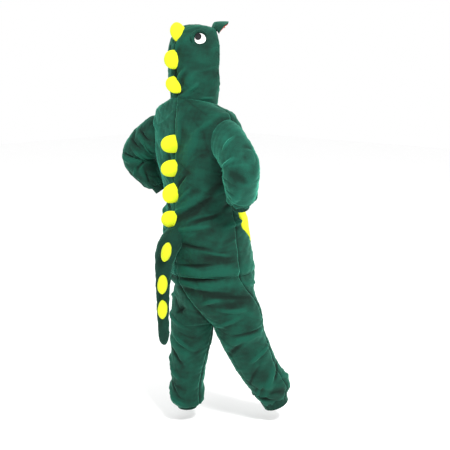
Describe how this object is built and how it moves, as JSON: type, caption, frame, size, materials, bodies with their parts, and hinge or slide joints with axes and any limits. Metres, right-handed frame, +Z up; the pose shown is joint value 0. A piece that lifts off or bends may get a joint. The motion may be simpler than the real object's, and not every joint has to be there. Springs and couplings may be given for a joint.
{
  "type": "kigurumi onesie",
  "caption": "Child's hooded kigurumi onesie of dark green plush with a yellow belly, yellow back spikes, a stuffed tail and a snout brim, filled out as worn.",
  "frame": {"origin": "the middle of the neck at the height of the shoulders, where the wearer's body carries the garment", "axes": "+Z up along the wearer, -Y the way the wearer's chest faces, +X the wearer's left"},
  "size_m": [0.564, 0.4691, 1.2781],
  "materials": {
    "green_plush": "matte",
    "yellow_plush": "matte",
    "red_lining": "matte",
    "white_felt": "matte",
    "dark_felt": "matte",
    "green_button": "satin"
  },
  "bodies": {
    "root": {"back_left": "green_plush", "back_right": "green_plush", "belly_left": "yellow_plush", "belly_right": "yellow_plush", "button_1": "green_button", "button_2": "green_button", "button_3": "green_button", "button_4": "green_button", "button_5": "green_button", "cuff_ankle_left": "green_plush", "cuff_ankle_right": "green_plush", "cuff_wrist_left": "green_plush", "cuff_wrist_right": "green_plush", "eye_left": "white_felt", "eye_right": "white_felt", "eyelid_left": "green_plush", "eyelid_right": "green_plush", "facing_left": "red_lining", "facing_right": "red_lining", "front_left": "green_plush", "front_right": "green_plush", "hood_left": "green_plush", "hood_right": "green_plush", "leg_back_left": "green_plush", "leg_back_right": "green_plush", "leg_front_left": "green_plush", "leg_front_right": "green_plush", "placket": "yellow_plush", "pupil_left": "dark_felt", "pupil_right": "dark_felt", "sleeve_left": "green_plush", "sleeve_right": "green_plush", "snout": "green_plush", "snout_lining": "red_lining", "spike_01": "yellow_plush", "spike_02": "yellow_plush", "spike_03": "yellow_plush", "spike_04": "yellow_plush", "spike_05": "yellow_plush", "spike_06": "yellow_plush", "spike_07": "yellow_plush", "spike_08": "yellow_plush", "spike_09": "yellow_plush", "spike_10": "yellow_plush", "tail": "green_plush", "tooth_1": "white_felt", "tooth_2": "white_felt", "tooth_3": "white_felt", "tooth_4": "white_felt"}
  },
  "joints": []
}
